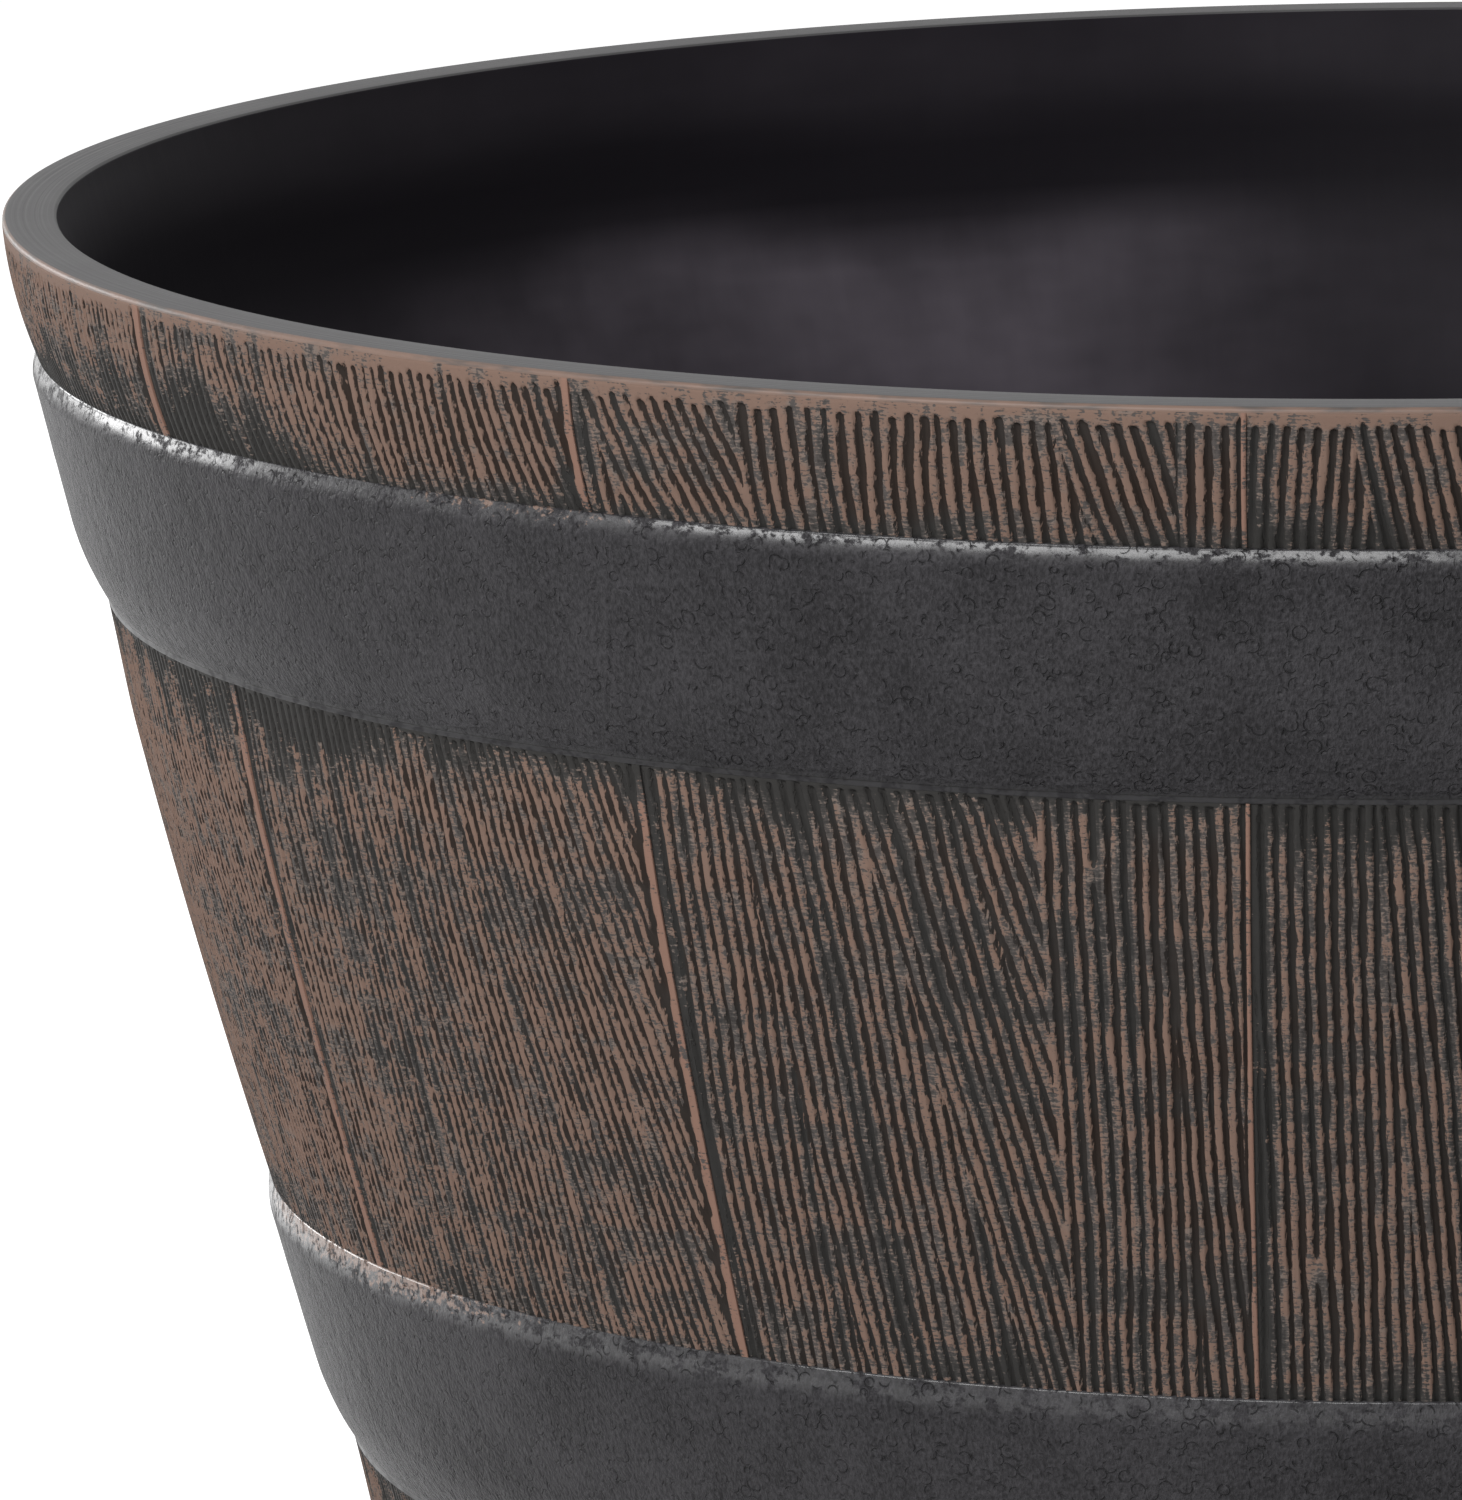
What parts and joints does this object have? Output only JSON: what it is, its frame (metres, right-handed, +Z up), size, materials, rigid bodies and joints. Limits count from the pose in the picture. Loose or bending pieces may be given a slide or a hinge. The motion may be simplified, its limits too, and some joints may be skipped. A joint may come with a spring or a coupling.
{
  "type": "barrel planter",
  "caption": "Round tapered floor planter moulded as a half barrel, with stave seams and raised hoops, an open top, a foot ring, and floor drains closed by lift-out rubber plugs.",
  "frame": {"origin": "on the ground under the middle of the tub", "axes": "+Z up along the tub's axis; -Y is the side that faces the picture's camera"},
  "size_m": [0.5198, 0.5198, 0.33],
  "materials": {
    "painted_resin": "charcoal moulded resin, dry-brushed brown on the staves",
    "plug_rubber": "matt black rubber"
  },
  "bodies": {
    "tub": {"tub": "painted_resin"},
    "drain_plug_middle": {"drain_plug_middle": "plug_rubber"},
    "drain_plug_front_left": {"drain_plug_front_left": "plug_rubber"},
    "drain_plug_front_right": {"drain_plug_front_right": "plug_rubber"},
    "drain_plug_rear_left": {"drain_plug_rear_left": "plug_rubber"},
    "drain_plug_rear_right": {"drain_plug_rear_right": "plug_rubber"}
  },
  "joints": [
    {"name": "lift_middle_plug", "type": "slide", "parent": "tub", "child": "drain_plug_middle", "axis": [0, 0, 1], "range_m": [0, 0.06]},
    {"name": "lift_front_left_plug", "type": "slide", "parent": "tub", "child": "drain_plug_front_left", "axis": [0, 0, 1], "range_m": [0, 0.06]},
    {"name": "lift_front_right_plug", "type": "slide", "parent": "tub", "child": "drain_plug_front_right", "axis": [0, 0, 1], "range_m": [0, 0.06]},
    {"name": "lift_rear_left_plug", "type": "slide", "parent": "tub", "child": "drain_plug_rear_left", "axis": [0, 0, 1], "range_m": [0, 0.06]},
    {"name": "lift_rear_right_plug", "type": "slide", "parent": "tub", "child": "drain_plug_rear_right", "axis": [0, 0, 1], "range_m": [0, 0.06]}
  ]
}
